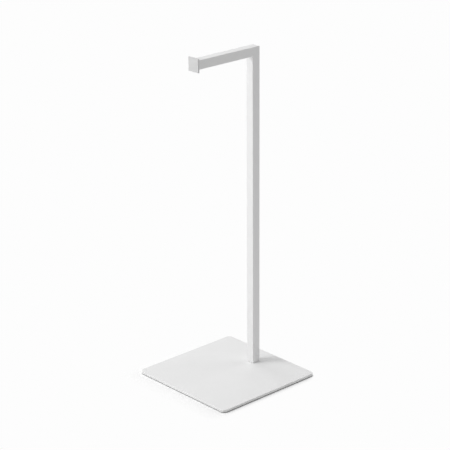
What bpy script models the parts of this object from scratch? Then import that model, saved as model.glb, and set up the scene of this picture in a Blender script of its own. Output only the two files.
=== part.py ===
"""Freestanding toilet paper holder, modelled as it is assembled.

A flat steel base on four rubber pads carries a square steel post. The post's top is mitred to a
short arm, and a moulded cap closes the arm's open end. One countersunk screw from below holds the
post on the base, and two pins behind the screw keep the post from turning.

Units are metres and +Z is up. The origin is on the floor under the middle of the base. The arm
points to -Y, which is the front. The left and right halves mirror each other about x = 0.
"""

from math import cos, pi, radians, sin, sqrt

import bmesh
import bpy

# The whole holder
HOLDER_NAME = "freestanding_toilet_paper_holder"
FIT_CLEARANCE = 0.0003
CUT_OVERRUN = 0.002
MERGE_DISTANCE = 0.000001
ROUND_SIDES = 48
ROUNDING_SEGMENTS = 3

# Base plate, cut from flat steel
BASE_WIDTH = 0.210
BASE_DEPTH = 0.207
BASE_THICKNESS = 0.004
BASE_LIFT = 0.0015
BASE_CORNER_RADIUS = 0.008
BASE_CORNER_SEGMENTS = 12
BASE_EDGE_RADIUS = 0.0006

# Rubber pads under the base plate
PAD_DIAMETER = 0.012
PAD_INSET = 0.020
PAD_CHAMFER = 0.0004

# Square tube that the post and the arm are cut from
TUBE_WIDTH = 0.015
TUBE_WALL = 0.0015
TUBE_CORNER_RADIUS = 0.0004
POST_HEIGHT = 0.552
POST_SETBACK = 0.0615
ARM_CLEAR_LENGTH = 0.1175
MITRE_ANGLE = radians(45)

# Moulded cap in the arm's open end
CAP_WIDTH = 0.023
CAP_THICKNESS = 0.0025
CAP_EDGE_RADIUS = 0.0004
SPIGOT_LENGTH = 0.012
SPIGOT_WALL = 0.0015

# Threaded insert, welded into the post's foot
INSERT_LENGTH = 0.015

# Countersunk screw with a hexagon socket
SCREW_DIAMETER = 0.005
SCREW_LENGTH = 0.016
SCREW_HEAD_DIAMETER = 0.010
SCREW_HEAD_RIM = 0.0003
SCREW_TIP_CHAMFER = 0.0006
SOCKET_WIDTH = 0.003
SOCKET_DEPTH = 0.002

# Locating pins behind the screw
PIN_DIAMETER = 0.002
PIN_LENGTH = 0.006
PIN_CHAMFER = 0.0002
PIN_EDGE_WALL = 0.0005
PIN_SEAT_DEPTH = 0.0015

# Heights and places that follow from the sizes above
BASE_TOP = BASE_LIFT + BASE_THICKNESS
POST_FOOT = BASE_TOP + FIT_CLEARANCE
HOLDER_TOP = BASE_TOP + POST_HEIGHT
ARM_AXIS_HEIGHT = HOLDER_TOP - TUBE_WIDTH / 2
ARM_END = POST_SETBACK - TUBE_WIDTH / 2 - ARM_CLEAR_LENGTH
TUBE_BORE = TUBE_WIDTH - 2 * TUBE_WALL
INSERT_WIDTH = TUBE_BORE - 2 * FIT_CLEARANCE
SCREW_HOLE_RADIUS = SCREW_DIAMETER / 2 + FIT_CLEARANCE
COUNTERSINK_RADIUS = SCREW_HEAD_DIAMETER / 2 + FIT_CLEARANCE
HEAD_BOTTOM = BASE_LIFT + FIT_CLEARANCE
CONE_HEIGHT = (SCREW_HEAD_DIAMETER - SCREW_DIAMETER) / 2
COUNTERSINK_TOP = HEAD_BOTTOM + SCREW_HEAD_RIM + CONE_HEIGHT
PIN_HOLE_RADIUS = PIN_DIAMETER / 2 + FIT_CLEARANCE
PIN_OFFSET = INSERT_WIDTH / 2 - PIN_EDGE_WALL - PIN_HOLE_RADIUS
PIN_BOTTOM = BASE_TOP - PIN_SEAT_DEPTH
PIN_TOP = PIN_BOTTOM + PIN_LENGTH
PIN_PLACES = (("left", -PIN_OFFSET), ("right", PIN_OFFSET))
MITRE_BLOCK = 4 * TUBE_WIDTH

# Colour, roughness and metallic value of each finish
POWDER_COAT = ((0.80, 0.80, 0.79), 0.45, 0.0)
MOULDED_PLASTIC = ((0.70, 0.70, 0.69), 0.38, 0.0)
ZINC_PLATED_STEEL = ((0.56, 0.57, 0.58), 0.30, 1.0)
BARE_STEEL = ((0.42, 0.41, 0.40), 0.42, 1.0)
GROUND_STEEL = ((0.62, 0.62, 0.62), 0.18, 1.0)
BLACK_RUBBER = ((0.025, 0.025, 0.026), 0.85, 0.0)


def clear_scene():
    for item in list(bpy.data.objects):
        bpy.data.objects.remove(item, do_unlink=True)


def new_collection(name):
    made = bpy.data.collections.new(name)
    bpy.context.scene.collection.children.link(made)
    return made


def new_empty(name, location):
    empty = bpy.data.objects.new(name, None)
    empty.location = location
    parts.objects.link(empty)
    return empty


def new_material(name, finish):
    colour, roughness, metallic = finish
    material = bpy.data.materials.new(name)
    material.use_nodes = True
    shader = material.node_tree.nodes["Principled BSDF"]
    shader.inputs["Base Color"].default_value = (*colour, 1.0)
    shader.inputs["Roughness"].default_value = roughness
    shader.inputs["Metallic"].default_value = metallic
    material.diffuse_color = (*colour, 1.0)
    return material


def new_piece(name, mesh, finish, parent, location, rotation=(0, 0, 0)):
    """A part of the holder, at a world location that is kept when it joins its parent."""
    piece = bpy.data.objects.new(name, mesh)
    mesh.materials.append(new_material(name + "_finish", finish))
    piece.parent = parent
    piece.location = [place - base for place, base in zip(location, parent.location)]
    piece.rotation_euler = rotation
    parts.objects.link(piece)
    return piece


def new_helper(name, mesh, location, rotation=(0, 0, 0)):
    """A shape that cuts or joins a part, and isn't a part itself."""
    helper = bpy.data.objects.new(name, mesh)
    helper.location = location
    helper.rotation_euler = rotation
    helper.hide_render = True
    helper.display_type = "WIRE"
    cutters.objects.link(helper)
    return helper


def add_boolean(piece, helper, operation):
    boolean = piece.modifiers.new(helper.name, "BOOLEAN")
    boolean.operation = operation
    boolean.object = helper
    boolean.solver = "EXACT"


def box_mesh(name, width, depth, height):
    """A box with its foot on z = 0."""
    shape = bmesh.new()
    bmesh.ops.create_cube(shape, size=1)
    bmesh.ops.scale(shape, vec=(width, depth, height), verts=shape.verts)
    bmesh.ops.translate(shape, vec=(0, 0, height / 2), verts=shape.verts)
    return finished_mesh(shape, name)


def bar_mesh(name, width, depth, height, corner_radius, segments):
    """A box with its foot on z = 0 and its four upright edges rounded."""
    shape = bmesh.new()
    bmesh.ops.create_cube(shape, size=1)
    upright = [edge for edge in shape.edges if edge.verts[0].co.z != edge.verts[1].co.z]
    bmesh.ops.scale(shape, vec=(width, depth, height), verts=shape.verts)
    bmesh.ops.translate(shape, vec=(0, 0, height / 2), verts=shape.verts)
    bmesh.ops.bevel(
        shape, geom=upright, offset=corner_radius, segments=segments, profile=0.5, affect="EDGES"
    )
    return finished_mesh(shape, name)


def prism_mesh(name, radius, height, sides):
    """A round or hexagonal bar with its foot on z = 0."""
    shape = bmesh.new()
    bmesh.ops.create_cone(
        shape, cap_ends=True, segments=sides, radius1=radius, radius2=radius, depth=height
    )
    bmesh.ops.translate(shape, vec=(0, 0, height / 2), verts=shape.verts)
    return finished_mesh(shape, name)


def turned_mesh(name, profile):
    """A turned shape. The profile's (radius, height) points run from its top on the axis, down
    its outer side, to its bottom on the axis."""
    outline = bpy.data.meshes.new(name + "_profile")
    points = [(radius, 0, height) for radius, height in profile]
    outline.from_pydata(points, [(i, i + 1) for i in range(len(points) - 1)], [])
    lathe = bpy.data.objects.new(name + "_profile", outline)
    bpy.context.scene.collection.objects.link(lathe)
    screw = lathe.modifiers.new("turn", "SCREW")
    screw.steps = ROUND_SIDES
    screw.render_steps = ROUND_SIDES
    screw.use_merge_vertices = True
    screw.merge_threshold = MERGE_DISTANCE
    lathe_result = lathe.evaluated_get(bpy.context.evaluated_depsgraph_get())
    mesh = bpy.data.meshes.new_from_object(lathe_result)
    mesh.name = name
    bpy.data.objects.remove(lathe)
    bpy.data.meshes.remove(outline)
    smooth_round(mesh)
    return mesh


def finished_mesh(shape, name):
    mesh = bpy.data.meshes.new(name)
    shape.to_mesh(mesh)
    shape.free()
    smooth_round(mesh)
    return mesh


def smooth_round(mesh):
    mesh.shade_smooth()
    mesh.set_sharp_from_angle(angle=radians(35))


def round_outer_edges(piece, radius):
    """Rounds only the square edges: the facets of a rounded corner meet at a flatter angle."""
    bevel = piece.modifiers.new("rounded_edges", "BEVEL")
    bevel.width = radius
    bevel.segments = ROUNDING_SEGMENTS
    bevel.limit_method = "ANGLE"
    bevel.angle_limit = radians(60)


def make_base_plate():
    plate = new_piece(
        "base_plate",
        bar_mesh(
            "base_plate",
            BASE_WIDTH,
            BASE_DEPTH,
            BASE_THICKNESS,
            BASE_CORNER_RADIUS,
            BASE_CORNER_SEGMENTS,
        ),
        POWDER_COAT,
        base_assembly,
        (0, 0, BASE_LIFT),
    )
    round_outer_edges(plate, BASE_EDGE_RADIUS)
    # The countersunk hole is drawn from the post's foot down to below the plate.
    mouth = HEAD_BOTTOM + SCREW_HEAD_RIM
    hole_profile = [
        (0, BASE_TOP + CUT_OVERRUN),
        (SCREW_HOLE_RADIUS, BASE_TOP + CUT_OVERRUN),
        (SCREW_HOLE_RADIUS, COUNTERSINK_TOP),
        (COUNTERSINK_RADIUS, mouth),
        (COUNTERSINK_RADIUS, BASE_LIFT - CUT_OVERRUN),
        (0, BASE_LIFT - CUT_OVERRUN),
    ]
    hole = turned_mesh("countersunk_hole", hole_profile)
    add_boolean(plate, new_helper("countersunk_hole", hole, (0, POST_SETBACK, 0)), "DIFFERENCE")
    pin_hole_depth = PIN_SEAT_DEPTH + FIT_CLEARANCE
    for side, x in PIN_PLACES:
        name = "base_pin_hole_" + side
        hole = prism_mesh(name, PIN_HOLE_RADIUS, pin_hole_depth + CUT_OVERRUN, ROUND_SIDES)
        place = (x, POST_SETBACK + PIN_OFFSET, BASE_TOP - pin_hole_depth)
        add_boolean(plate, new_helper(name, hole, place), "DIFFERENCE")


def make_foot_pads():
    top = BASE_LIFT - FIT_CLEARANCE
    radius = PAD_DIAMETER / 2
    profile = [(0, top), (radius, top), (radius, PAD_CHAMFER), (radius - PAD_CHAMFER, 0), (0, 0)]
    for row, y_side in (("front", -1), ("back", 1)):
        for column, x_side in (("left", -1), ("right", 1)):
            name = f"foot_pad_{row}_{column}"
            x = x_side * (BASE_WIDTH / 2 - PAD_INSET)
            y = y_side * (BASE_DEPTH / 2 - PAD_INSET)
            mesh = turned_mesh(name, profile)
            new_piece(name, mesh, BLACK_RUBBER, base_assembly, (x, y, 0))


def make_bore(name, length, location, rotation=(0, 0, 0)):
    """A cutter for the square hollow of a tube, from one open end past the other."""
    return new_helper(name, box_mesh(name, TUBE_BORE, TUBE_BORE, length), location, rotation)


def make_mitre_cutter(name, reach_back):
    """A block across the mitre, which starts reach_back behind it on the post's side."""
    # Turned by the mitre's angle, the block's own +Z points from the post to the arm.
    across = (0, -sin(MITRE_ANGLE), cos(MITRE_ANGLE))
    corner = (0, POST_SETBACK, ARM_AXIS_HEIGHT)
    place = [along - step * reach_back for along, step in zip(corner, across)]
    mesh = box_mesh(name, MITRE_BLOCK, MITRE_BLOCK, MITRE_BLOCK)
    return new_helper(name, mesh, place, (MITRE_ANGLE, 0, 0))


def make_post_tube():
    length = HOLDER_TOP - POST_FOOT
    mesh = bar_mesh(
        "post_tube", TUBE_WIDTH, TUBE_WIDTH, length, TUBE_CORNER_RADIUS, ROUNDING_SEGMENTS
    )
    place = (0, POST_SETBACK, POST_FOOT)
    tube = new_piece("post_tube", mesh, POWDER_COAT, post_assembly, place)
    bore_place = (0, POST_SETBACK, POST_FOOT - CUT_OVERRUN)
    bore = make_bore("post_bore", length + 2 * CUT_OVERRUN, bore_place)
    add_boolean(tube, bore, "DIFFERENCE")
    add_boolean(tube, make_mitre_cutter("post_mitre", FIT_CLEARANCE / 2), "DIFFERENCE")


def make_arm_tube():
    # The tube is drawn from its open end back to the corner, so its own +Z points to the back.
    start = ARM_END + FIT_CLEARANCE
    length = POST_SETBACK + TUBE_WIDTH / 2 - start
    backwards = (-pi / 2, 0, 0)
    mesh = bar_mesh(
        "arm_tube", TUBE_WIDTH, TUBE_WIDTH, length, TUBE_CORNER_RADIUS, ROUNDING_SEGMENTS
    )
    place = (0, start, ARM_AXIS_HEIGHT)
    tube = new_piece("arm_tube", mesh, POWDER_COAT, post_assembly, place, backwards)
    bore_place = (0, start - CUT_OVERRUN, ARM_AXIS_HEIGHT)
    bore = make_bore("arm_bore", length + 2 * CUT_OVERRUN, bore_place, backwards)
    add_boolean(tube, bore, "DIFFERENCE")
    mitre = make_mitre_cutter("arm_mitre", MITRE_BLOCK - FIT_CLEARANCE / 2)
    add_boolean(tube, mitre, "DIFFERENCE")


def make_end_cap():
    backwards = (-pi / 2, 0, 0)
    mesh = box_mesh("end_cap", CAP_WIDTH, CAP_WIDTH, CAP_THICKNESS)
    place = (0, ARM_END - CAP_THICKNESS, ARM_AXIS_HEIGHT)
    cap = new_piece("end_cap", mesh, MOULDED_PLASTIC, post_assembly, place, backwards)
    round_outer_edges(cap, CAP_EDGE_RADIUS)
    # The spigot starts inside the plate, so that the two join with an overlap.
    spigot_width = TUBE_BORE - 2 * FIT_CLEARANCE
    root = CAP_THICKNESS / 2
    spigot_mesh = bar_mesh(
        "cap_spigot",
        spigot_width,
        spigot_width,
        root + SPIGOT_LENGTH,
        TUBE_CORNER_RADIUS,
        ROUNDING_SEGMENTS,
    )
    spigot_place = (0, ARM_END - root, ARM_AXIS_HEIGHT)
    add_boolean(cap, new_helper("cap_spigot", spigot_mesh, spigot_place, backwards), "UNION")
    hollow_width = spigot_width - 2 * SPIGOT_WALL
    hollow_mesh = box_mesh("cap_hollow", hollow_width, hollow_width, SPIGOT_LENGTH + CUT_OVERRUN)
    hollow_place = (0, ARM_END, ARM_AXIS_HEIGHT)
    add_boolean(cap, new_helper("cap_hollow", hollow_mesh, hollow_place, backwards), "DIFFERENCE")


def make_post_insert():
    mesh = bar_mesh(
        "post_insert",
        INSERT_WIDTH,
        INSERT_WIDTH,
        INSERT_LENGTH,
        TUBE_CORNER_RADIUS,
        ROUNDING_SEGMENTS,
    )
    place = (0, POST_SETBACK, POST_FOOT)
    insert = new_piece("post_insert", mesh, BARE_STEEL, post_assembly, place)
    below = POST_FOOT - CUT_OVERRUN
    bore = prism_mesh(
        "screw_bore", SCREW_HOLE_RADIUS, INSERT_LENGTH + 2 * CUT_OVERRUN, ROUND_SIDES
    )
    add_boolean(insert, new_helper("screw_bore", bore, (0, POST_SETBACK, below)), "DIFFERENCE")
    for side, x in PIN_PLACES:
        name = "insert_pin_hole_" + side
        hole = prism_mesh(name, PIN_HOLE_RADIUS, PIN_TOP + FIT_CLEARANCE - below, ROUND_SIDES)
        helper = new_helper(name, hole, (x, POST_SETBACK + PIN_OFFSET, below))
        add_boolean(insert, helper, "DIFFERENCE")


def make_base_screw():
    head = SCREW_HEAD_DIAMETER / 2
    shank = SCREW_DIAMETER / 2
    profile = [
        (0, SCREW_LENGTH),
        (shank - SCREW_TIP_CHAMFER, SCREW_LENGTH),
        (shank, SCREW_LENGTH - SCREW_TIP_CHAMFER),
        (shank, SCREW_HEAD_RIM + CONE_HEIGHT),
        (head, SCREW_HEAD_RIM),
        (head, 0),
        (0, 0),
    ]
    mesh = turned_mesh("base_screw", profile)
    place = (0, POST_SETBACK, HEAD_BOTTOM)
    screw = new_piece("base_screw", mesh, ZINC_PLATED_STEEL, base_assembly, place)
    # A hexagon's width across its flats is the square root of 3 times its radius.
    socket = prism_mesh("hex_socket", SOCKET_WIDTH / sqrt(3), SOCKET_DEPTH + CUT_OVERRUN, 6)
    socket_place = (0, POST_SETBACK, HEAD_BOTTOM - CUT_OVERRUN)
    add_boolean(screw, new_helper("hex_socket", socket, socket_place), "DIFFERENCE")


def make_locating_pins():
    radius = PIN_DIAMETER / 2
    profile = [
        (0, PIN_LENGTH),
        (radius - PIN_CHAMFER, PIN_LENGTH),
        (radius, PIN_LENGTH - PIN_CHAMFER),
        (radius, PIN_CHAMFER),
        (radius - PIN_CHAMFER, 0),
        (0, 0),
    ]
    for side, x in PIN_PLACES:
        name = "locating_pin_" + side
        place = (x, POST_SETBACK + PIN_OFFSET, PIN_BOTTOM)
        new_piece(name, turned_mesh(name, profile), GROUND_STEEL, base_assembly, place)


clear_scene()
parts = new_collection(HOLDER_NAME)
cutters = new_collection("cutters")
base_assembly = new_empty("base_assembly", (0, 0, 0))
post_assembly = new_empty("post_assembly", (0, POST_SETBACK, POST_FOOT))

make_base_plate()
make_foot_pads()
make_post_tube()
make_arm_tube()
make_end_cap()
make_post_insert()
make_base_screw()
make_locating_pins()
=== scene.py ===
from math import cos, pi, radians, sin, sqrt

import bmesh
import bpy
from mathutils import Matrix, Vector


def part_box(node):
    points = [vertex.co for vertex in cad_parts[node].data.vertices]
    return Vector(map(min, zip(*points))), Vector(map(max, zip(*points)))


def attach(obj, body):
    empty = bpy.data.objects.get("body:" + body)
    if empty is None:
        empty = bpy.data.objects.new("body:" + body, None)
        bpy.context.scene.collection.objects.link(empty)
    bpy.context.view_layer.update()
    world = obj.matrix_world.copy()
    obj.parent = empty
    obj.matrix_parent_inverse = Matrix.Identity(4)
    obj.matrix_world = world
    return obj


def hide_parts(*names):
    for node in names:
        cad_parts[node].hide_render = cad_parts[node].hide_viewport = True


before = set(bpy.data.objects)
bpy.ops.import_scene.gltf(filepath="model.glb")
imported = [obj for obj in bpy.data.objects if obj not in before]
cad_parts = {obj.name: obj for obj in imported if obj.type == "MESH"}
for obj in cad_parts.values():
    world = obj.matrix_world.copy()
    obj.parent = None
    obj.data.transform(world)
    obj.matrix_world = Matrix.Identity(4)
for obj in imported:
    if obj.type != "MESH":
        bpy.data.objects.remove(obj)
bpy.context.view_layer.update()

# Base plate
# Flat mild steel, laser cut with round corners, its edges broken in a tumbler, then powder coated
# all over. One countersunk hole from below takes the screw that holds the post.
MM = 0.001

plate_low, plate_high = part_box("base_plate")
plate_corner_radius = 8 * MM
plate_corner_segments = 24
plate_edge_radius = 0.6 * MM
plate_edge_segments = 6
sharp_angle = radians(40)
turned_sides = 96
merge_distance = 0.001 * MM
screw_low, screw_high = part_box("base_screw")
screw_axis = (screw_low + screw_high) / 2
fit = 0.3 * MM
head_radius = (screw_high.x - screw_low.x) / 2
shank_radius = 2.5 * MM
head_rim = 0.3 * MM
cut_overrun = 2 * MM


def to_linear(hex_colour):
    """The linear colour of an sRGB hex value, with full alpha."""
    channels = [int(hex_colour[i : i + 2], 16) / 255 for i in (1, 3, 5)]
    return (*[c / 12.92 if c <= 0.04045 else ((c + 0.055) / 1.055) ** 2.4 for c in channels], 1)


def add_node(tree, kind, inputs=None, **settings):
    """Adds one node. inputs gives each named or numbered socket a value, or a socket to link."""
    node = tree.nodes.new(kind)
    for name, value in settings.items():
        setattr(node, name, value)
    for socket, value in (inputs or {}).items():
        if isinstance(value, bpy.types.NodeSocket):
            tree.links.new(value, node.inputs[socket])
        else:
            node.inputs[socket].default_value = value
    return node


def new_material(name):
    """An empty node material, with its output node."""
    material = bpy.data.materials.new(name)
    material.use_nodes = True
    material.node_tree.nodes.clear()
    return material, add_node(material.node_tree, "ShaderNodeOutputMaterial")


def powder_coat():
    """White polyester powder, stoved on steel: matte, with the faint orange peel that the melted
    powder leaves, about a millimetre across and a few hundredths deep, and a finer grain on it."""
    peel_size = 1.3 * MM
    grain_size = 0.3 * MM
    cloud_size = 45 * MM
    peel_depth = 0.04 * MM
    material, output = new_material("powder_coat_white_stoved")
    tree = material.node_tree
    place = add_node(tree, "ShaderNodeTexCoord").outputs["Object"]
    peel = add_node(
        tree, "ShaderNodeTexNoise", {"Vector": place, "Scale": 1 / peel_size, "Detail": 1}
    )
    grain = add_node(
        tree, "ShaderNodeTexNoise", {"Vector": place, "Scale": 1 / grain_size, "Detail": 2}
    )
    height = add_node(
        tree,
        "ShaderNodeMix",
        {"Factor": 0.3, "A": peel.outputs["Fac"], "B": grain.outputs["Fac"]},
    )
    bump = add_node(
        tree,
        "ShaderNodeBump",
        {"Height": height.outputs["Result"], "Strength": 0.6, "Distance": peel_depth},
    )
    cloud = add_node(
        tree, "ShaderNodeTexNoise", {"Vector": place, "Scale": 1 / cloud_size, "Detail": 3}
    )
    tone = add_node(
        tree,
        "ShaderNodeMix",
        {"Factor": cloud.outputs["Fac"], "A": to_linear("#E6E6E6"), "B": to_linear("#EAEAEA")},
        data_type="RGBA",
    )
    sheen = add_node(
        tree,
        "ShaderNodeMapRange",
        {"Value": grain.outputs["Fac"], "To Min": 0.42, "To Max": 0.52},
    )
    coat = add_node(
        tree,
        "ShaderNodeBsdfPrincipled",
        {
            "Base Color": tone.outputs["Result"],
            "Roughness": sheen.outputs["Result"],
            "Normal": bump.outputs["Normal"],
            "IOR": 1.5,
        },
    )
    tree.links.new(coat.outputs["BSDF"], output.inputs["Surface"])
    return material


def new_object(name, mesh):
    """A new object in the scene that carries the mesh."""
    made = bpy.data.objects.new(name, mesh)
    bpy.context.scene.collection.objects.link(made)
    return made


def mesh_from(shape, name):
    """A mesh from a bmesh, with its faces turned outward."""
    bmesh.ops.recalc_face_normals(shape, faces=shape.faces)
    mesh = bpy.data.meshes.new(name)
    shape.to_mesh(mesh)
    shape.free()
    return mesh


def apply_modifiers(piece):
    """Gives a piece the mesh that its modifiers make, and removes them."""
    bpy.context.view_layer.update()
    evaluated = piece.evaluated_get(bpy.context.evaluated_depsgraph_get())
    mesh = bpy.data.meshes.new_from_object(evaluated)
    piece.modifiers.clear()
    piece.data = mesh


def finished(piece):
    """A plain mesh at the origin, with crisp corners, smooth roundings and flat faces."""
    apply_modifiers(piece)
    piece.data.transform(piece.matrix_world)
    piece.matrix_world = Matrix.Identity(4)
    piece.data.shade_smooth()
    piece.data.set_sharp_from_angle(angle=sharp_angle)
    weighted = piece.modifiers.new("flat_faces", "WEIGHTED_NORMAL")
    weighted.keep_sharp = True
    apply_modifiers(piece)
    return piece


def turned(name, profile):
    """A turned shape round Z from (radius, height) points, which run from axis to axis."""
    shape = bmesh.new()
    line = [shape.verts.new((radius, 0, height)) for radius, height in profile]
    edges = [shape.edges.new(pair) for pair in zip(line, line[1:])]
    bmesh.ops.spin(
        shape,
        geom=line + edges,
        cent=(0, 0, 0),
        axis=(0, 0, 1),
        angle=2 * pi,
        steps=turned_sides,
        use_merge=True,
    )
    bmesh.ops.remove_doubles(shape, verts=shape.verts, dist=merge_distance)
    return mesh_from(shape, name)


def cut(piece, cutter):
    """Adds a modifier that takes the cutter's shape out of the piece."""
    boolean = piece.modifiers.new(cutter.name, "BOOLEAN")
    boolean.object = cutter
    boolean.solver = "EXACT"


def base_plate_mesh():
    """A block with rounded upright corners, and then all its other edges rounded too."""
    size = plate_high - plate_low
    shape = bmesh.new()
    bmesh.ops.create_cube(shape, size=1)
    bmesh.ops.scale(shape, vec=size, verts=shape.verts)
    bmesh.ops.translate(shape, vec=(plate_low + plate_high) / 2, verts=shape.verts)
    upright = [e for e in shape.edges if abs(e.verts[0].co.z - e.verts[1].co.z) > size.z / 2]
    bmesh.ops.bevel(
        shape,
        geom=upright,
        offset=plate_corner_radius,
        segments=plate_corner_segments,
        profile=0.5,
        affect="EDGES",
    )
    rim = [e for e in shape.edges if abs(e.verts[0].co.z - e.verts[1].co.z) < size.z / 2]
    bmesh.ops.bevel(
        shape,
        geom=rim,
        offset=plate_edge_radius,
        segments=plate_edge_segments,
        profile=0.5,
        affect="EDGES",
    )
    return mesh_from(shape, "base_plate_steel")


coat_material = powder_coat()
base_plate = new_object("base_plate_steel", base_plate_mesh())
mouth = screw_low.z + head_rim
countersink_top = mouth + head_radius - shank_radius
hole_profile = [
    (0, plate_high.z + cut_overrun),
    (shank_radius + fit, plate_high.z + cut_overrun),
    (shank_radius + fit, countersink_top),
    (head_radius + fit, mouth),
    (head_radius + fit, plate_low.z - cut_overrun),
    (0, plate_low.z - cut_overrun),
]
hole_cutter = new_object("countersunk_hole", turned("countersunk_hole", hole_profile))
hole_cutter.location = (screw_axis.x, screw_axis.y, 0)
cut(base_plate, hole_cutter)
finished(base_plate)
bpy.data.objects.remove(hole_cutter)
base_plate.data.materials.clear()
base_plate.data.materials.append(coat_material)
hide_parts("base_plate")
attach(base_plate, "root")

# Foot pads
# Self-adhesive rubber discs, one under each corner, that keep the steel off the floor. They are
# moulded with a soft rim, and stick to the plate by a film on their upper face.
pad_names = [
    f"foot_pad_{row}_{column}" for row in ("front", "back") for column in ("left", "right")
]
pad_low, pad_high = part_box(pad_names[0])
pad_centre = (pad_low + pad_high) / 2
pad_radius = (pad_high.x - pad_low.x) / 2
pad_height = pad_high.z - pad_low.z
pad_sides = 64
pad_rounding = {"width": 0.4 * MM, "segments": 4, "limit_method": "ANGLE"}


def new_tree(name, sizes):
    """A Geometry Nodes tree with a geometry input and output, and one named input a size."""
    tree = bpy.data.node_groups.new(name, "GeometryNodeTree")
    tree.interface.new_socket("Geometry", in_out="INPUT", socket_type="NodeSocketGeometry")
    tree.interface.new_socket("Geometry", in_out="OUTPUT", socket_type="NodeSocketGeometry")
    for size, kind in sizes.items():
        tree.interface.new_socket(size, in_out="INPUT", socket_type="NodeSocket" + kind)
    return tree, add_node(tree, "NodeGroupInput").outputs


def grow(name, start, tree, values, finish=()):
    """Runs a tree on a starting mesh, with any finishing modifiers, and keeps the plain mesh."""
    piece = new_object(name, start)
    modifier = piece.modifiers.new("grow", "NODES")
    modifier.node_group = tree
    for socket in tree.interface.items_tree:
        if socket.in_out == "INPUT" and socket.name in values:
            modifier[socket.identifier] = values[socket.name]
    for kind, settings in finish:
        extra = piece.modifiers.new(kind.lower(), kind)
        for setting, value in settings.items():
            setattr(extra, setting, value)
    finished(piece)
    # The tree's mesh can carry an empty slot in front of its material.
    if piece.data.materials[0] is None:
        piece.data.materials.pop(index=0)
    return piece


def black_rubber():
    """Moulded natural rubber filled with carbon black: almost no gloss, with the fine bloom and
    grain of a mould that was never polished."""
    grain_size = 0.25 * MM
    bloom_size = 3 * MM
    grain_depth = 0.05 * MM
    material, output = new_material("rubber_black_moulded")
    tree = material.node_tree
    place = add_node(tree, "ShaderNodeTexCoord").outputs["Object"]
    grain = add_node(
        tree, "ShaderNodeTexNoise", {"Vector": place, "Scale": 1 / grain_size, "Detail": 3}
    )
    bloom = add_node(
        tree, "ShaderNodeTexNoise", {"Vector": place, "Scale": 1 / bloom_size, "Detail": 4}
    )
    tone = add_node(
        tree,
        "ShaderNodeMix",
        {"Factor": bloom.outputs["Fac"], "A": to_linear("#26262A"), "B": to_linear("#343436")},
        data_type="RGBA",
    )
    bump = add_node(
        tree,
        "ShaderNodeBump",
        {"Height": grain.outputs["Fac"], "Strength": 0.7, "Distance": grain_depth},
    )
    rubber = add_node(
        tree,
        "ShaderNodeBsdfPrincipled",
        {
            "Base Color": tone.outputs["Result"],
            "Roughness": 0.82,
            "IOR": 1.52,
            "Normal": bump.outputs["Normal"],
        },
    )
    tree.links.new(rubber.outputs["BSDF"], output.inputs["Surface"])
    return material


def pad_tree(material):
    """One turned pad on each corner of a grid that is as wide and deep as the pads' centres."""
    tree, sizes = new_tree(
        "pads_at_corners",
        {"Spread X": "Float", "Spread Y": "Float", "Radius": "Float", "Height": "Float"},
    )
    corners = add_node(
        tree,
        "GeometryNodeMeshGrid",
        {
            "Size X": sizes["Spread X"],
            "Size Y": sizes["Spread Y"],
            "Vertices X": 2,
            "Vertices Y": 2,
        },
    )
    disc = add_node(
        tree,
        "GeometryNodeMeshCylinder",
        {"Vertices": pad_sides, "Radius": sizes["Radius"], "Depth": sizes["Height"]},
    )
    half = add_node(tree, "ShaderNodeMath", {0: sizes["Height"], 1: 0.5}, operation="MULTIPLY")
    lift = add_node(tree, "ShaderNodeCombineXYZ", {"Z": half.outputs[0]})
    standing = add_node(
        tree,
        "GeometryNodeTransform",
        {"Geometry": disc.outputs["Mesh"], "Translation": lift.outputs[0]},
    )
    copies = add_node(
        tree,
        "GeometryNodeInstanceOnPoints",
        {"Points": corners.outputs["Mesh"], "Instance": standing.outputs["Geometry"]},
    )
    real = add_node(tree, "GeometryNodeRealizeInstances", {"Geometry": copies.outputs[0]})
    painted = add_node(
        tree, "GeometryNodeSetMaterial", {"Geometry": real.outputs[0], "Material": material}
    )
    add_node(tree, "NodeGroupOutput", {"Geometry": painted.outputs[0]})
    return tree


foot_pads = grow(
    "foot_pads_rubber",
    bpy.data.meshes.new("foot_pads_rubber"),
    pad_tree(black_rubber()),
    {
        "Spread X": 2 * abs(pad_centre.x),
        "Spread Y": 2 * abs(pad_centre.y),
        "Radius": pad_radius,
        "Height": pad_height,
    },
    [("BEVEL", pad_rounding)],
)
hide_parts(*pad_names)
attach(foot_pads, "root")

# Post and arm
# One length of square steel tube cut at 45 degrees, turned to a corner, welded, ground flush and
# powder coated in one piece with the weld, so that no seam shows.
post_low, post_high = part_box("post_tube")
arm_low, arm_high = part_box("arm_tube")
tube_width = post_high.x - post_low.x
tube_wall = 1.5 * MM
tube_corner_radius = 0.4 * MM
tube_corner_points = 6
bore_corner_share = 0.4
join_distance = 0.01 * MM
weld_radius = 0.8 * MM
weld_steps = 4
tube_axis_y = (post_low.y + post_high.y) / 2
arm_axis_z = (arm_low.z + arm_high.z) / 2


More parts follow.
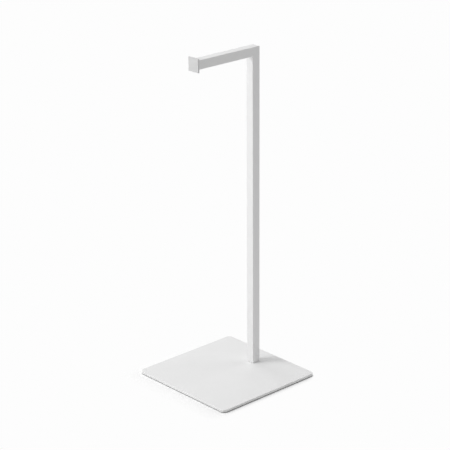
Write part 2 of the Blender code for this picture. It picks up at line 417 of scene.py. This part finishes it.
def mitred_tube_tree(material):
    """Sweeps a square tube from station to station along a bent line. Each station says which
    way the tube's outer side lies, and how far, so that both legs keep their full width at the
    mitre."""
    tree, sizes = new_tree(
        "mitred_square_tube",
        {
            "Width": "Float",
            "Wall": "Float",
            "Corner Radius": "Float",
            "Foot": "Vector",
            "End": "Vector",
        },
    )
    path = add_node(tree, "GeometryNodeMeshToCurve", {"Mesh": sizes["Geometry"]})
    here = add_node(tree, "GeometryNodeInputPosition").outputs["Position"]
    outward = add_node(
        tree, "GeometryNodeInputNamedAttribute", {"Name": "outward"}, data_type="FLOAT_VECTOR"
    )
    stations = add_node(tree, "GeometryNodeCaptureAttribute", {"Geometry": path.outputs["Curve"]})
    stations.capture_items.new("VECTOR", "Middle")
    stations.capture_items.new("VECTOR", "Outward")
    tree.links.new(here, stations.inputs["Middle"])
    tree.links.new(outward.outputs["Attribute"], stations.inputs["Outward"])

    walls = add_node(tree, "ShaderNodeMath", {0: sizes["Wall"], 1: 2}, operation="MULTIPLY")
    bore = add_node(
        tree, "ShaderNodeMath", {0: sizes["Width"], 1: walls.outputs[0]}, operation="SUBTRACT"
    )
    inner_radius = add_node(
        tree,
        "ShaderNodeMath",
        {0: sizes["Corner Radius"], 1: bore_corner_share},
        operation="MULTIPLY",
    )
    swept = add_node(tree, "GeometryNodeJoinGeometry")
    loops = add_node(tree, "GeometryNodeJoinGeometry")
    for width, radius, is_bore in (
        (sizes["Width"], sizes["Corner Radius"], False),
        (bore.outputs[0], inner_radius.outputs[0], True),
    ):
        square = add_node(
            tree, "GeometryNodeCurvePrimitiveQuadrilateral", {"Width": width, "Height": width}
        )
        rounded = add_node(
            tree,
            "GeometryNodeFilletCurve",
            {"Curve": square.outputs[0], "Count": tube_corner_points, "Radius": radius},
            mode="POLY",
        )
        section = add_node(
            tree, "GeometryNodeCaptureAttribute", {"Geometry": rounded.outputs["Curve"]}
        )
        section.capture_items.new("VECTOR", "Section")
        tree.links.new(here, section.inputs["Section"])
        tube = add_node(
            tree,
            "GeometryNodeCurveToMesh",
            {"Curve": stations.outputs["Geometry"], "Profile Curve": section.outputs["Geometry"]},
        )
        across = add_node(tree, "ShaderNodeSeparateXYZ", {"Vector": section.outputs["Section"]})
        sideways = add_node(tree, "ShaderNodeCombineXYZ", {"X": across.outputs["X"]})
        side = add_node(
            tree,
            "ShaderNodeVectorMath",
            {0: stations.outputs["Middle"], 1: sideways.outputs["Vector"]},
            operation="ADD",
        )
        place = add_node(
            tree,
            "ShaderNodeVectorMath",
            {0: stations.outputs["Outward"], 1: across.outputs["Y"], 2: side.outputs["Vector"]},
            operation="MULTIPLY_ADD",
        )
        placed = add_node(
            tree,
            "GeometryNodeSetPosition",
            {"Geometry": tube.outputs["Mesh"], "Position": place.outputs["Vector"]},
        )
        if is_bore:
            placed = add_node(
                tree, "GeometryNodeFlipFaces", {"Mesh": placed.outputs["Geometry"]}
            )
        tree.links.new(placed.outputs[0], swept.inputs["Geometry"])
        tree.links.new(rounded.outputs["Curve"], loops.inputs["Geometry"])

    # The sawn ends: the ring between the two sections, at the foot and at the arm's end.
    ring = add_node(
        tree, "GeometryNodeFillCurve", {"Curve": loops.outputs["Geometry"]}, mode="TRIANGLES"
    )
    end_ring = add_node(
        tree,
        "GeometryNodeTransform",
        {
            "Geometry": ring.outputs["Mesh"],
            "Translation": sizes["End"],
            "Rotation": (pi / 2, 0, 0),
        },
    )
    foot_ring = add_node(
        tree,
        "GeometryNodeTransform",
        {"Geometry": ring.outputs["Mesh"], "Translation": sizes["Foot"]},
    )
    foot_down = add_node(tree, "GeometryNodeFlipFaces", {"Mesh": foot_ring.outputs["Geometry"]})
    whole = add_node(tree, "GeometryNodeJoinGeometry")
    for part in (swept, end_ring, foot_down):
        tree.links.new(part.outputs[0], whole.inputs["Geometry"])
    welded = add_node(
        tree,
        "GeometryNodeMergeByDistance",
        {"Geometry": whole.outputs["Geometry"], "Distance": join_distance},
    )
    real = add_node(
        tree, "GeometryNodeRealizeInstances", {"Geometry": welded.outputs["Geometry"]}
    )
    painted = add_node(
        tree,
        "GeometryNodeSetMaterial",
        {"Geometry": real.outputs["Geometry"], "Material": material},
    )
    add_node(tree, "NodeGroupOutput", {"Geometry": painted.outputs["Geometry"]})
    return tree


half_width = tube_width / 2
foot_point = Vector((0, tube_axis_y, post_low.z))
end_point = Vector((0, arm_low.y, arm_axis_z))
inner_corner = Vector((0, tube_axis_y - half_width, arm_axis_z - half_width))
rounding_centre = Vector((0, tube_axis_y + half_width, arm_axis_z + half_width)) - Vector(
    (0, weld_radius, weld_radius)
)
stations = [(foot_point, Vector((0, 1, 0)))]
for step in range(weld_steps + 1):
    angle = pi / 2 * step / weld_steps
    outer = rounding_centre + weld_radius * Vector((0, cos(angle), sin(angle)))
    stations.append(((inner_corner + outer) / 2, (outer - inner_corner) / tube_width))
stations.append((end_point, Vector((0, 0, 1))))
bent_line = bpy.data.meshes.new("post_and_arm_line")
bent_line.from_pydata(
    [middle for middle, outward in stations], [(i, i + 1) for i in range(len(stations) - 1)], []
)
outward_values = bent_line.attributes.new("outward", "FLOAT_VECTOR", "POINT")
for value, (middle, outward) in zip(outward_values.data, stations):
    value.vector = outward
post_and_arm = grow(
    "post_and_arm_tube",
    bent_line,
    mitred_tube_tree(coat_material),
    {
        "Width": tube_width,
        "Wall": tube_wall,
        "Corner Radius": tube_corner_radius,
        "Foot": foot_point,
        "End": end_point,
    },
)
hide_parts("post_tube", "arm_tube")
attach(post_and_arm, "root")

# End cap
# A moulded stopper pressed into the arm's open end. Its square plate is wider than the tube, so
# that the roll can't slide off, and its satin plastic is a little greyer than the powder coat.
cap_low, cap_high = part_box("end_cap")
cap_centre = (cap_low + cap_high) / 2
cap_thickness = 2.5 * MM
cap_edge_radius = 0.4 * MM
cap_edge_segments = 5
spigot_width = tube_width - 2 * tube_wall - 2 * fit
spigot_wall = 1.5 * MM


def moulded_cap_plastic():
    """Injection moulded ABS from a fine spark eroded mould: satin, with an even grain that is
    much finer than the powder coat's."""
    grain_size = 0.2 * MM
    flow_size = 14 * MM
    grain_depth = 0.015 * MM
    material, output = new_material("abs_satin_moulded")
    tree = material.node_tree
    place = add_node(tree, "ShaderNodeTexCoord").outputs["Object"]
    grain = add_node(
        tree, "ShaderNodeTexNoise", {"Vector": place, "Scale": 1 / grain_size, "Detail": 2}
    )
    flow = add_node(
        tree, "ShaderNodeTexNoise", {"Vector": place, "Scale": 1 / flow_size, "Detail": 2}
    )
    tone = add_node(
        tree,
        "ShaderNodeMix",
        {"Factor": flow.outputs["Fac"], "A": to_linear("#C8C8C8"), "B": to_linear("#CDCDCD")},
        data_type="RGBA",
    )
    sheen = add_node(
        tree,
        "ShaderNodeMapRange",
        {"Value": flow.outputs["Fac"], "To Min": 0.36, "To Max": 0.44},
    )
    bump = add_node(
        tree,
        "ShaderNodeBump",
        {"Height": grain.outputs["Fac"], "Strength": 0.5, "Distance": grain_depth},
    )
    plastic = add_node(
        tree,
        "ShaderNodeBsdfPrincipled",
        {
            "Base Color": tone.outputs["Result"],
            "Roughness": sheen.outputs["Result"],
            "IOR": 1.54,
            "Normal": bump.outputs["Normal"],
        },
    )
    tree.links.new(plastic.outputs["BSDF"], output.inputs["Surface"])
    return material


def push_out(shape, face, inset, travel):
    """Insets a face and moves the inner one along its own normal."""
    if inset:
        bmesh.ops.inset_region(shape, faces=[face], thickness=inset, use_even_offset=True)
    pushed = bmesh.ops.extrude_discrete_faces(shape, faces=[face])["faces"][0]
    bmesh.ops.translate(shape, vec=pushed.normal * travel, verts=pushed.verts)
    return pushed


def end_cap_mesh():
    """A plate, its spigot drawn out of the plate's back, and the spigot's hollow pushed in."""
    width = cap_high.x - cap_low.x
    shape = bmesh.new()
    bmesh.ops.create_cube(shape, size=1)
    bmesh.ops.scale(shape, vec=(width, cap_thickness, width), verts=shape.verts)
    plate_middle = (cap_centre.x, cap_low.y + cap_thickness / 2, cap_centre.z)
    bmesh.ops.translate(shape, vec=plate_middle, verts=shape.verts)
    back = max(shape.faces, key=lambda face: face.calc_center_median().y)
    spigot_length = cap_high.y - cap_low.y - cap_thickness
    tip = push_out(shape, back, (width - spigot_width) / 2, spigot_length)
    push_out(shape, tip, spigot_wall, -spigot_length)
    return mesh_from(shape, "end_cap_moulded")


end_cap = new_object("end_cap_moulded", end_cap_mesh())
rounding = end_cap.modifiers.new("rounded_edges", "BEVEL")
rounding.width = cap_edge_radius
rounding.segments = cap_edge_segments
rounding.limit_method = "ANGLE"
finished(end_cap)
end_cap.data.materials.append(moulded_cap_plastic())
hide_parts("end_cap")
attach(end_cap, "root")

# Screw
# A zinc plated steel M5 screw, cold formed with a countersunk head and a hexagon socket. It is
# driven from below through the base into the post's foot, so only its head can be seen.
socket_width = 3 * MM
socket_depth = 2 * MM
socket_sides = 6
tip_chamfer = 0.6 * MM
screw_edge_radius = 0.12 * MM
screw_edge_segments = 2
screw_length = screw_high.z - screw_low.z


def plain_metal(name, dark, light, roughness, stain_size):
    """Steel that was plated or ground: metallic, with the small uneven stains of handling, which
    vary its roughness by a fifth."""
    material, output = new_material(name)
    tree = material.node_tree
    place = add_node(tree, "ShaderNodeTexCoord").outputs["Object"]
    stain = add_node(
        tree, "ShaderNodeTexNoise", {"Vector": place, "Scale": 1 / stain_size, "Detail": 4}
    )
    tone = add_node(
        tree,
        "ShaderNodeMix",
        {"Factor": stain.outputs["Fac"], "A": to_linear(dark), "B": to_linear(light)},
        data_type="RGBA",
    )
    wear = add_node(
        tree,
        "ShaderNodeMapRange",
        {"Value": stain.outputs["Fac"], "To Min": roughness * 0.8, "To Max": roughness * 1.2},
    )
    metal = add_node(
        tree,
        "ShaderNodeBsdfPrincipled",
        {
            "Base Color": tone.outputs["Result"],
            "Metallic": 1.0,
            "Roughness": wear.outputs["Result"],
        },
    )
    tree.links.new(metal.outputs["BSDF"], output.inputs["Surface"])
    return material


screw_profile = [
    (0, screw_length),
    (shank_radius - tip_chamfer, screw_length),
    (shank_radius, screw_length - tip_chamfer),
    (shank_radius, head_rim + head_radius - shank_radius),
    (head_radius, head_rim),
    (head_radius, 0),
    (0, 0),
]
base_screw = new_object("base_screw_zinc", turned("base_screw_zinc", screw_profile))
base_screw.location = (screw_axis.x, screw_axis.y, screw_low.z)
socket_shape = bmesh.new()
bmesh.ops.create_cone(
    socket_shape,
    cap_ends=True,
    segments=socket_sides,
    radius1=socket_width / sqrt(3),
    radius2=socket_width / sqrt(3),
    depth=2 * socket_depth,
)
socket_cutter = new_object("hexagon_socket", mesh_from(socket_shape, "hexagon_socket"))
socket_cutter.location = base_screw.location
cut(base_screw, socket_cutter)
screw_rounding = base_screw.modifiers.new("rounded_edges", "BEVEL")
screw_rounding.width = screw_edge_radius
screw_rounding.segments = screw_edge_segments
screw_rounding.limit_method = "ANGLE"
finished(base_screw)
bpy.data.objects.remove(socket_cutter)
base_screw.data.materials.clear()
base_screw.data.materials.append(
    plain_metal("steel_bright_zinc_plated", "#B9BBBE", "#D0D2D4", 0.28, 2 * MM)
)
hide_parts("base_screw")
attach(base_screw, "root")

# Inside the post's foot
# A block of mild steel, tapped for the screw and welded into the tube, and two ground pins that
# keep the post square to the base. They stay as the solids have them, because nothing shows them.
hidden_finishes = {
    "post_insert": ("steel_mild_bare", "#8D8A86", "#A9A6A1", 0.45, 5 * MM),
    "locating_pin_left": ("steel_ground_left", "#B4B4B3", "#C9C9C8", 0.2, 1 * MM),
    "locating_pin_right": ("steel_ground_right", "#B4B4B3", "#C9C9C8", 0.2, 1 * MM),
}
for node, finish in hidden_finishes.items():
    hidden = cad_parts[node]
    hidden.data.materials.clear()
    hidden.data.materials.append(plain_metal(*finish))

# Floor
# A plain white sweep. Close to the base it takes light and shadow as paper does, and further off
# it shows the camera an even white. The slit under the plate is only a pixel high, so its shade is
# drawn deeper than it is, or it would hardly show.
floor_reach = 4.0
floor_paper = "#EFEFEF"
background_white = "#FDFDFD"
slit_shade = 0.75
slit_edge = 0.5 * MM
shade_shift = Vector((-5, -16, 0)) * MM
shade_reach = 18 * MM
shade_start = 2.5 * MM


def reach_past_plate(tree, place, shift):
    """How far a point of the floor lies from the plate's middle part, inside its corner radius,
    when the plate's outline is moved by shift."""
    moved = add_node(
        tree, "ShaderNodeVectorMath", {0: place, 1: shift}, operation="SUBTRACT"
    ).outputs[0]
    size = add_node(tree, "ShaderNodeVectorMath", {0: moved}, operation="ABSOLUTE").outputs[0]
    beyond = add_node(
        tree,
        "ShaderNodeVectorMath",
        {0: size, 1: (plate_high.x - plate_corner_radius, plate_high.y - plate_corner_radius, 1)},
        operation="SUBTRACT",
    ).outputs[0]
    outside = add_node(
        tree, "ShaderNodeVectorMath", {0: beyond, 1: (0, 0, 0)}, operation="MAXIMUM"
    ).outputs[0]
    return add_node(
        tree, "ShaderNodeVectorMath", {0: outside}, operation="LENGTH"
    ).outputs["Value"]


def seen_directly(tree):
    """1 where the camera sees a surface straight, mirrored or through glass, and otherwise 0."""
    rays = add_node(tree, "ShaderNodeLightPath").outputs
    seen = rays["Is Camera Ray"]
    for other in ("Is Glossy Ray", "Is Transmission Ray"):
        seen = add_node(
            tree, "ShaderNodeMath", {0: seen, 1: rays[other]}, operation="MAXIMUM"
        ).outputs[0]
    return seen


def paper_floor():
    """Matt white paper that lights the holder evenly from below. The camera sees it lit close to
    the base, with painted shade in the slit under the plate, and as the background's even white
    from there on."""
    material, output = new_material("floor_white_paper")
    tree = material.node_tree
    place = add_node(tree, "ShaderNodeTexCoord").outputs["Object"]
    past_plate = reach_past_plate(tree, place, (0, 0, 0))
    # Painted shade: the paper's colour drops to slit_shade under the plate, deeper than the slit's
    # own shade.
    tone = add_node(
        tree,
        "ShaderNodeMapRange",
        {
            "Value": past_plate,
            "From Min": plate_corner_radius - slit_edge,
            "From Max": plate_corner_radius + slit_edge,
            "To Min": slit_shade,
            "To Max": 1.0,
        },
    ).outputs["Result"]
    clear_of_plate = add_node(
        tree,
        "ShaderNodeMapRange",
        {
            "Value": past_plate,
            "From Min": plate_corner_radius,
            "From Max": plate_corner_radius + shade_start,
        },
    ).outputs["Result"]
    far = add_node(
        tree,
        "ShaderNodeMapRange",
        {
            "Value": reach_past_plate(tree, place, shade_shift),
            "From Min": plate_corner_radius,
            "From Max": plate_corner_radius + shade_reach,
        },
        interpolation_type="SMOOTHSTEP",
    ).outputs["Result"]
    fade = add_node(
        tree, "ShaderNodeMath", {0: far, 1: clear_of_plate}, operation="MULTIPLY"
    ).outputs[0]
    paper = add_node(tree, "ShaderNodeBsdfDiffuse", {"Color": to_linear(floor_paper)})
    bright = add_node(tree, "ShaderNodeBsdfDiffuse", {"Color": tone})
    white = add_node(tree, "ShaderNodeEmission", {"Color": to_linear(background_white)})
    near = add_node(
        tree,
        "ShaderNodeMixShader",
        {0: fade, 1: bright.outputs[0], 2: white.outputs[0]},
    )
    shown = add_node(
        tree,
        "ShaderNodeMixShader",
        {0: seen_directly(tree), 1: paper.outputs[0], 2: near.outputs[0]},
    )
    tree.links.new(shown.outputs[0], output.inputs["Surface"])
    # The white that the camera sees is no lamp, so no light is drawn from it.
    material.cycles.emission_sampling = "NONE"
    return material


floor_shape = bmesh.new()
bmesh.ops.create_grid(floor_shape, x_segments=1, y_segments=1, size=floor_reach)
floor = new_object("floor_sweep", mesh_from(floor_shape, "floor_sweep"))
floor.data.materials.append(paper_floor())

# Light
# Soft boxes of a small studio, all 3 m away. A tall key stands at the front left, from 8 to 45
# degrees up, with a low box on the left, two overhead, and a fill behind. The room adds a weak
# even light.
light_target = Vector((0, 0, 0.25))
light_distance = 3.0


def soft_box(name, azimuth, elevation, width, height, power):
    """A rectangular area lamp aimed at the holder, with its angles in degrees, its sizes in
    metres and its power in watts. Azimuth 0 is in front, and 90 to the right."""
    a, e = radians(azimuth), radians(elevation)
    lamp = bpy.data.lights.new(name, "AREA")
    lamp.shape = "RECTANGLE"
    lamp.size = width
    lamp.size_y = height
    lamp.energy = power
    box = bpy.data.objects.new(name, lamp)
    bpy.context.scene.collection.objects.link(box)
    away = Vector((sin(a) * cos(e), -cos(a) * cos(e), sin(e)))
    box.location = light_target + away * light_distance
    box.rotation_euler = away.to_track_quat("Z", "Y").to_euler()


soft_box("key_low", -33, 16, 1.0, 0.8, 25.1)
soft_box("key_middle", -33, 26, 1.0, 0.9, 8.4)
soft_box("key_high", -45, 36, 1.0, 0.9, 12.3)
soft_box("left_low", -95, 12, 1.4, 0.8, 23.4)
soft_box("overhead_front", -25, 62, 1.2, 1.2, 9.7)
soft_box("overhead", -40, 78, 1.4, 1.4, 20.6)
soft_box("fill_behind", 155, 20, 1.8, 1.2, 17.5)
room_level = 0.326

room = bpy.data.worlds.new("white_room")
room.use_nodes = True
room.node_tree.nodes.clear()
soft = add_node(
    room.node_tree, "ShaderNodeBackground", {"Color": (1, 1, 1, 1), "Strength": room_level}
)
backdrop = add_node(
    room.node_tree, "ShaderNodeBackground", {"Color": to_linear(background_white), "Strength": 1}
)
mixed = add_node(
    room.node_tree,
    "ShaderNodeMixShader",
    {0: seen_directly(room.node_tree), 1: soft.outputs[0], 2: backdrop.outputs[0]},
)
add_node(room.node_tree, "ShaderNodeOutputWorld", {"Surface": mixed.outputs[0]})
room.cycles.sampling_method = "NONE"
bpy.context.scene.world = room
bpy.context.scene.view_settings.view_transform = "Standard"

# Camera
# A long lens, nearly 2.8 m away at the front right, that looks down by 20 degrees. Its place and
# angles come from the straight edges that the photograph shows.
camera_place = Vector((1.90976, -1.75256, 1.23669))
camera_heading = radians(-47.486)
camera_drop = radians(20.480)
camera_roll = radians(-0.407)
camera_lens = bpy.data.cameras.new("long_lens")
camera_lens.sensor_width = 36
camera_lens.lens = 135.87
camera_lens.clip_start = 0.1
camera_lens.clip_end = 50
camera = bpy.data.objects.new("camera", camera_lens)
bpy.context.scene.collection.objects.link(camera)
camera.matrix_world = (
    Matrix.Translation(camera_place)
    @ Matrix.Rotation(-camera_heading, 4, "Z")
    @ Matrix.Rotation(pi / 2 - camera_drop, 4, "X")
    @ Matrix.Rotation(camera_roll, 4, "Z")
)
bpy.context.scene.camera = camera
